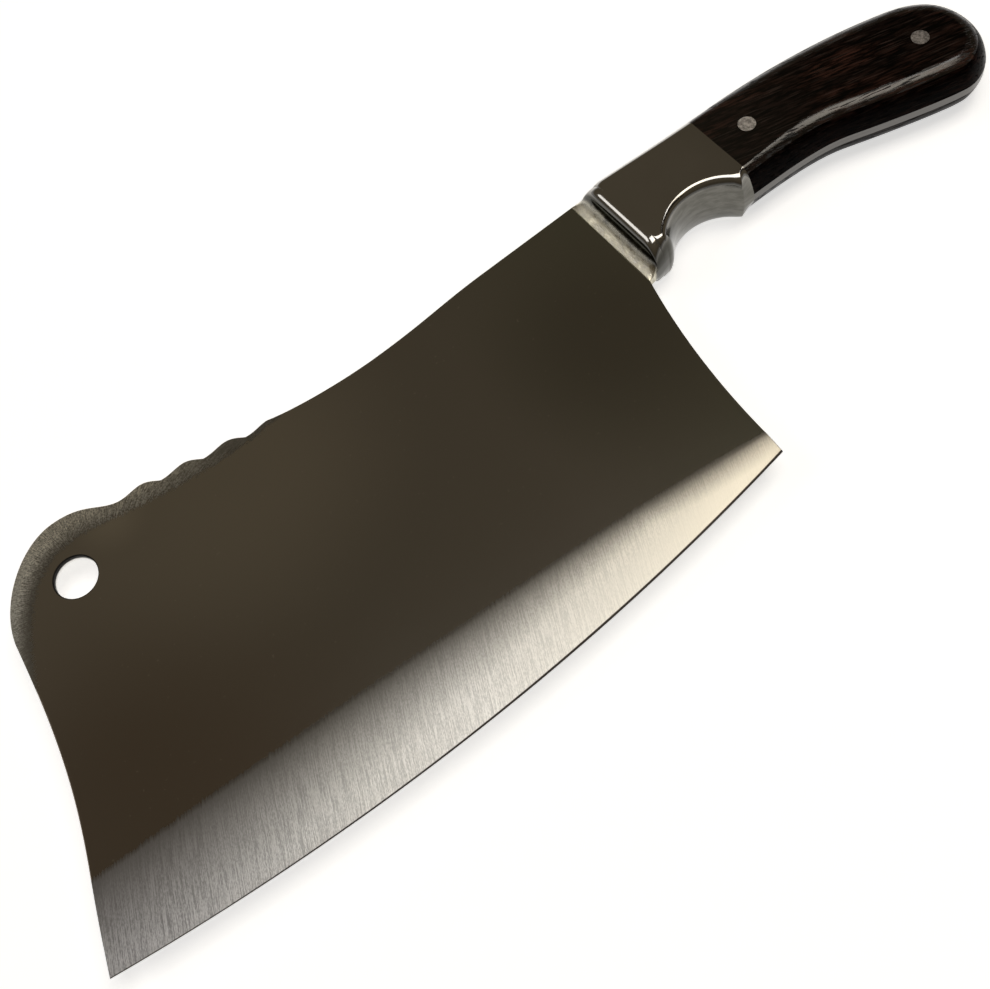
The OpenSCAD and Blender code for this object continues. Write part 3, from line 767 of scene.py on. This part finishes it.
def blade_steel():
    m, tree, shader = material("blade_steel_finish_and_painted_light")
    f, s, gap = (value_of(tree, name) for name in ("bevel_f", "ear_s", "edge_d"))
    at = own_place(tree)
    place = axis(tree, at, 0)
    cloud = grain(tree, 0, (14, 14, 14), 3, 0.5, 5.0)

    # Brush lines across the bevel, calmer near the edge towards the heel
    streak = grain(tree, brush_turn, (2300, 90, 90), 4, 0.65)
    hair = grain(tree, brush_turn, (5200, 150, 150), 2, 0.6, 3.0)
    grit = grain(tree, brush_turn, (3600, 1300, 1300), 2, 0.6, 11.0)
    lines = math_node(tree, "MULTIPLY_ADD", hair, 0.37, math_node(tree, "MULTIPLY", streak, 0.3))
    lines = ramp_to(tree, math_node(tree, "MULTIPLY_ADD", grit, 0.33, lines), 0.41, 0.59)
    past = straight(tree, place, -0.06, 0.01)
    calm = math_node(tree, "MULTIPLY", past, straight(tree, f, 0.8, 0.35, 0.0, 0.8))
    marks = math_node(tree, "SUBTRACT", 1.0, calm)
    marks = math_node(tree, "MULTIPLY_ADD", math_node(tree, "SUBTRACT", lines, 0.39), marks, 0.39)

    # Where the bevel starts, with a ragged border, and where its tone is full
    ragged = math_node(tree, "MULTIPLY_ADD", streak, 0.12, math_node(tree, "ADD", f, -0.06))
    ragged = math_node(tree, "SUBTRACT", ragged, straight(tree, place, -0.05, 0.025, 0.0, 0.12))
    bevel = straight(tree, ragged, 0.995, 0.99)
    # The reach of the painted shade at the bevel's start changes along the blade
    full = straight(tree, place, -0.13, 0.0, 0.08, 0.58)
    full = math_node(tree, "SUBTRACT", full, straight(tree, place, 0.0, 0.03, 0.0, 0.5))
    body = straight(tree, ragged, 0.99, full)

    # The same for the ground band round the ear
    brushed = ear_brush(tree, at)
    inward = math_node(tree, "MULTIPLY_ADD", brushed, 1.6, math_node(tree, "ADD", s, 0.3))
    ear = straight(tree, inward, 0.0, 0.03)
    ear_body = straight(tree, inward, 0.0, 5.2)

    tone = blend(tree, bevel, face_tone_with_painted_light(tree, at, place, cloud),
                 bevel_tone_with_painted_light(tree, place, past, ragged, body, marks))
    tone = blend(tree, ear, tone, ear_tone_with_painted_highlight(tree, place, brushed, ear_body))

    # Painted shade: a dark line along the cutting edge
    reach = straight(tree, place, -0.15, -0.03, 0.2, 0.6)
    painted_edge_shade = straight(tree, math_node(tree, "SUBTRACT", gap, reach), 0.0, -0.15)
    tone = blend(tree, painted_edge_shade, tone, rgb(0.025, 0.021, 0.018))
    tree.links.new(tone, shader.inputs["Base Color"])
    shader.inputs["Metallic"].default_value = 1.0

    satin = math_node(tree, "MAXIMUM", bevel, ear)
    plain = math_node(tree, "MULTIPLY_ADD", cloud, 0.03, 0.09)
    rough = math_node(tree, "MULTIPLY_ADD", lines, 0.05, 0.32)
    rough = math_node(tree, "MULTIPLY_ADD", satin, math_node(tree, "SUBTRACT", rough, plain), plain)
    tree.links.new(rough, shader.inputs["Roughness"])
    height = math_node(tree, "MULTIPLY", marks, body)
    height = math_node(tree, "MULTIPLY_ADD", brushed, ear_body, height)
    bump_by(tree, shader, height, 0.3, 0.00003)
    return m


def plain_steel(name, scale, seed, low, high, rough):
    """A steel with one noise between two tones."""
    m, tree, shader = material(name)
    mark = grain(tree, 0, scale, 3, 0.6, seed)
    tree.links.new(blend(tree, mark, low, high), shader.inputs["Base Color"])
    shader.inputs["Metallic"].default_value = 1.0
    shader.inputs["Roughness"].default_value = rough
    return m


def hole_steel():
    """The wall of the hanging hole: painted shade above, and below it a painted reflection of the floor."""
    m, tree, shader = material("hole_wall_painted_shade_and_reflection")
    fleck = grain(tree, 0, (900, 900, 900), 3, 0.6, 13.0)
    # Painted shade: the dark tone of the wall
    tone = blend(tree, fleck, rgb(0.012, 0.011, 0.01), rgb(0.03, 0.028, 0.026))
    # Painted reflection: the lower part of the wall turns near white
    painted_floor_reflection = straight(tree, axis(tree, own_place(tree), 2), 0.0088, 0.0083)
    tree.links.new(blend(tree, painted_floor_reflection, tone, rgb(0.92, 0.91, 0.89)), shader.inputs["Base Color"])
    shader.inputs["Metallic"].default_value = 1.0
    shader.inputs["Roughness"].default_value = 0.6
    return m


def tang_steel():
    m, tree, shader = material("tang_steel_finish")
    line = grain(tree, 0, (60, 60, 2500), 3, 0.6, 7.0)
    tone = blend(tree, line, rgb(0.09, 0.0865, 0.083), rgb(0.185, 0.179, 0.173))
    tree.links.new(tone, shader.inputs["Base Color"])
    shader.inputs["Metallic"].default_value = 1.0
    tree.links.new(math_node(tree, "MULTIPLY_ADD", line, 0.2, 0.22), shader.inputs["Roughness"])
    return m


def bolster_steel():
    m, tree, shader = material("bolster_steel_finish_and_painted_shade")
    x = axis(tree, own_place(tree), 0)
    front = float(row((bolster_x, 0, 0))[0])
    rub = ramp_to(tree, grain(tree, 0, (520, 330, 330), 5, 0.75, 4.0), 0.3, 0.7)
    cloud = grain(tree, 0, (60, 60, 60), 3, 0.5, 6.0)
    smear = grain(tree, 0, (260, 260, 900), 4, 0.6, 8.0)
    edge = math_node(tree, "MULTIPLY_ADD", rub, 0.0012, x)
    ground = ramp_to(tree, edge, front + 0.0042, front + 0.0022)
    side = value_of(tree, "flank")
    tone = blend(tree, cloud, rgb(0.42, 0.405, 0.385), rgb(0.48, 0.465, 0.44))
    # Painted shade: the flanks are much darker than the faces, and darkest near the front
    under = blend(tree, ramp_to(tree, smear, 0.35, 0.65), rgb(0.11, 0.107, 0.095), rgb(0.15, 0.146, 0.131))
    under = blend(tree, straight(tree, x, front + 0.006, front + 0.016), rgb(0.041, 0.04, 0.034), under)
    tone = blend(tree, ramp_to(tree, side, 0.3, 0.95), tone, under)
    worn = math_node(tree, "MULTIPLY_ADD", rub, 0.65, 0.35)
    tone = blend(tree, math_node(tree, "MULTIPLY", ground, worn), tone, rgb(0.98, 0.92, 0.74))
    tree.links.new(tone, shader.inputs["Base Color"])
    shader.inputs["Metallic"].default_value = 1.0
    rough = math_node(tree, "MULTIPLY_ADD", cloud, 0.06, 0.1)
    tree.links.new(math_node(tree, "MULTIPLY_ADD", ground, 0.22, rough), shader.inputs["Roughness"])
    bump_by(tree, shader, math_node(tree, "MULTIPLY", rub, ground), 0.5, 0.00015)
    return m


def grip_wood(name, seed, gloss, painted_flank_shade):
    """Dark wood with fibre, pores, pale dashes as painted glints and reddish bands, a rougher ridge, and a
    given share of painted shade.
    """
    m, tree, shader = material(name)

    def fibres(scale, detail, rough, shift):
        return grain(tree, fibre_turn, scale, detail, rough, seed + shift)

    broad, patch = fibres((20, 230, 230), 5, 0.6, 0), fibres((45, 80, 80), 3, 0.5, 4)
    fine, coarse = fibres((210, 2400, 2400), 3, 0.6, 2), fibres((140, 950, 950), 3, 0.6, 10)
    fibre = math_node(tree, "MULTIPLY_ADD", coarse, 0.5, math_node(tree, "MULTIPLY", fine, 0.5))
    fibre = ramp_to(tree, fibre, 0.43, 0.61)
    pores = ramp_to(tree, fibres((170, 1700, 1700), 2, 0.5, 6), 0.56, 0.62)
    # Painted glints: pale dashes along the fibre
    painted_glints = ramp_to(tree, fibres((110, 2300, 2300), 1, 0.5, 8), 0.6, 0.7)
    red = math_node(tree, "MULTIPLY", ramp_to(tree, broad, 0.42, 0.64), ramp_to(tree, patch, 0.38, 0.62))
    tone = blend(tree, fibre, rgb(0.0002, 0.0001, 0.0001), rgb(0.0125, 0.0065, 0.0052))
    tone = blend(tree, red, tone, blend(tree, fibre, rgb(0.002, 0.0008, 0.0006), rgb(0.054, 0.0215, 0.0145)))
    tone = blend(tree, math_node(tree, "MULTIPLY", pores, 0.85), tone, rgb(0.0005, 0.0003, 0.0003))
    tone = blend(tree, math_node(tree, "MULTIPLY", painted_glints, 0.5), tone, rgb(0.05, 0.034, 0.028))
    # Painted shade: darkens the tone towards near black by the given share
    tone = blend(tree, painted_flank_shade, tone, rgb(0.0005, 0.0003, 0.0003))
    tree.links.new(tone, shader.inputs["Base Color"])
    shader.inputs["Specular IOR Level"].default_value = gloss
    ridge = value_of(tree, "ridge")
    rough = math_node(tree, "MULTIPLY_ADD", fibre, 0.03, 0.07)
    dull = math_node(tree, "MULTIPLY_ADD", pores, 0.6, 0.1)
    tree.links.new(math_node(tree, "MULTIPLY_ADD", ridge, dull, rough), shader.inputs["Roughness"])
    height = math_node(tree, "SUBTRACT", math_node(tree, "MULTIPLY", fibre, 0.3), pores)
    height = math_node(tree, "MULTIPLY", height, math_node(tree, "MULTIPLY_ADD", ridge, 6.0, 1.0))
    bump_by(tree, shader, height, 0.1, 0.00004)
    return m


def scale_wood(side, seed):
    """The polished ridge and the duller flank of one scale, the flank also darkened by painted shade."""
    return [
        grip_wood(f"grip_wood_{side}_finish", seed, 0.7, 0.0),
        grip_wood(f"grip_wood_{side}_flank_dull_and_painted_shade", seed, 0.02, 0.6),
    ]


def rivet_steel(name, low, high):
    m, tree, shader = material(name)
    mottle = grain(tree, 30, (1300, 1300, 1300), 4, 0.7, 1.5)
    scratch = grain(tree, 35, (300, 3500, 300), 3, 0.6, 2.5)
    tone = blend(tree, ramp_to(tree, mottle, 0.35, 0.65), low, high)
    tree.links.new(tone, shader.inputs["Base Color"])
    shader.inputs["Metallic"].default_value = 1.0
    tree.links.new(math_node(tree, "MULTIPLY_ADD", scratch, 0.2, 0.38), shader.inputs["Roughness"])
    height = math_node(tree, "MULTIPLY_ADD", mottle, 0.6, scratch)
    bump_by(tree, shader, height, 0.4, 0.00008)
    return m


# Painted shade: the wall along the cutting edge gets a dark steel tone
edge_wall_painted_shade = plain_steel("edge_steel_painted_shade", (900, 900, 900), 1.0,
                   rgb(0.07, 0.064, 0.06), rgb(0.16, 0.15, 0.14), 0.45)
spine = plain_steel("spine_steel_finish", (150, 150, 4000), 17.0,
                    rgb(0.2, 0.19, 0.175), rgb(0.36, 0.345, 0.32), 0.38)
blade_slots = [blade_steel(), edge_wall_painted_shade, tang_steel(), hole_steel(), spine]
bolster = bolster_steel()
# Painted light and shade: one rivet finish, lighter on the front rivet and darker on the rear
front_rivet = rivet_steel("front_rivet_painted_light", rgb(0.21, 0.195, 0.181), rgb(0.61, 0.575, 0.54))
rear_rivet = rivet_steel("rear_rivet_painted_shade", rgb(0.125, 0.114, 0.108), rgb(0.4, 0.372, 0.352))

pieces = [
    (make_blade(blade_slots), "blade", "blade_steel"),
    (make_bolster("left_bolster_polished", [bolster], False), "left_bolster", "bolster_steel"),
    (make_bolster("right_bolster_polished", [bolster], True), "right_bolster", "bolster_steel"),
    (make_scale("left_scale_oiled", scale_wood("left", 0.0), False), "left_scale", "grip_wood"),
    (make_scale("right_scale_oiled", scale_wood("right", 21.0), True), "right_scale", "grip_wood"),
]
for piece, name, slot in pieces:
    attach(piece, "root")
    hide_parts(name)
for name in ("front_rivet_sleeve", "front_rivet_stud", "rear_rivet_sleeve", "rear_rivet_stud"):
    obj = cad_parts[name]
    obj.data.materials.clear()
    obj.data.materials.append(front_rivet if name.startswith("front") else rear_rivet)

# Camera, as found from the photograph's outline

cam_data = bpy.data.cameras.new("camera")
cam_data.sensor_width = 36.0
cam_data.lens = 50.909
cam = bpy.data.objects.new("camera", cam_data)
right = Vector((0.78694, -0.59729, -0.15484))
down = Vector((-0.59632, -0.67172, -0.43954))
ahead = Vector((0.15853, 0.43823, -0.88478))
eye = Vector((-0.0812, -0.16725, 0.3210))
cam.matrix_world = Matrix((
    (right.x, -down.x, -ahead.x, eye.x),
    (right.y, -down.y, -ahead.y, eye.y),
    (right.z, -down.z, -ahead.z, eye.z),
    (0, 0, 0, 1),
))
scene.collection.objects.link(cam)
scene.camera = cam

# Studio: a white floor, large soft lights overhead, a small one over the grip and one beyond the toe

floor_half, floor_gap, floor_glow = 6, 0.0002, 0.62
floor_corners = [(x * floor_half, y * floor_half, 0) for x, y in ((-1, -1), (1, -1), (1, 1), (-1, 1))]
floor_mesh = bpy.data.meshes.new("floor")
floor_mesh.from_pydata(floor_corners, [], [(0, 1, 2, 3)])
floor = bpy.data.objects.new("floor", floor_mesh)
floor.location.z = -floor_gap
scene.collection.objects.link(floor)
floor_mat, floor_tree, floor_shader = material("floor_white")
floor_shader.inputs["Base Color"].default_value = rgb(0.95, 0.95, 0.95)
floor_shader.inputs["Roughness"].default_value = 1.0
floor_shader.inputs["Specular IOR Level"].default_value = 0.0
floor_mesh.materials.append(floor_mat)
ray = node(floor_tree, "ShaderNodeLightPath")
seen = math_node(floor_tree, "MAXIMUM", ray.outputs["Is Camera Ray"], ray.outputs["Is Glossy Ray"])
seen = math_node(floor_tree, "MAXIMUM", seen, ray.outputs["Is Transmission Ray"])
floor_shader.inputs["Emission Color"].default_value = rgb(1, 1, 1)
glow = math_node(floor_tree, "MULTIPLY", seen, floor_glow)
floor_tree.links.new(glow, floor_shader.inputs["Emission Strength"])


def soft_light(name, at, size, radiance, colour=(1, 1, 1), aim=None, turn=0.0):
    """A rectangular lamp of a given brightness, facing down or towards a point."""
    data = bpy.data.lights.new(name, "AREA")
    data.shape = "RECTANGLE"
    data.size, data.size_y = size
    data.energy = radiance * math.pi * size[0] * size[1]
    data.color = colour
    lamp = bpy.data.objects.new(name, data)
    lamp.location = at
    if aim is None:
        lamp.rotation_euler = (0, 0, math.radians(turn))
    else:
        lamp.rotation_euler = (Vector(aim) - Vector(at)).to_track_quat("-Z", "Y").to_euler()
    scene.collection.objects.link(lamp)


soft_light("overhead", (0.31, 0.0, 1.5), (1.16, 0.8), 2.5, (1.0, 0.995, 0.98), turn=-4)
soft_light("overhead_warm", (0.62, -0.04, 1.49), (0.56, 0.78), 0.9, (1.0, 0.72, 0.3), turn=-4)
soft_light("over_grip", (1.0, 0.28, 1.5), (0.24, 0.2), 4.0, (1.0, 0.98, 0.95), turn=-4)
soft_light("beyond_toe", (-1.15, 0.95, 1.5), (0.8, 0.8), 1.8, (1.0, 0.99, 0.98), aim=(0, 0, 0))

world = bpy.data.worlds.new("studio")
scene.world = world
world.use_nodes = True
tree = world.node_tree
tree.nodes.clear()
way = node(tree, "ShaderNodeTexCoord").outputs["Generated"]
side, up = axis(tree, way, 0), axis(tree, way, 2)
dim = math_node(tree, "MULTIPLY", ramp_to(tree, side, 0.4, 0.5), ramp_to(tree, up, 0.6, 0.66))
wall = blend(tree, dim, rgb(0.1, 0.083, 0.057), rgb(0.02, 0.016, 0.011))
sky = blend(tree, ramp_to(tree, up, 0.02, 0.3), rgb(0.5, 0.5, 0.5), wall)
back = node(tree, "ShaderNodeBackground", {"Color": sky, "Strength": 1.0})
node(tree, "ShaderNodeOutputWorld", {"Surface": back.outputs[0]})

bpy.context.view_layer.update()
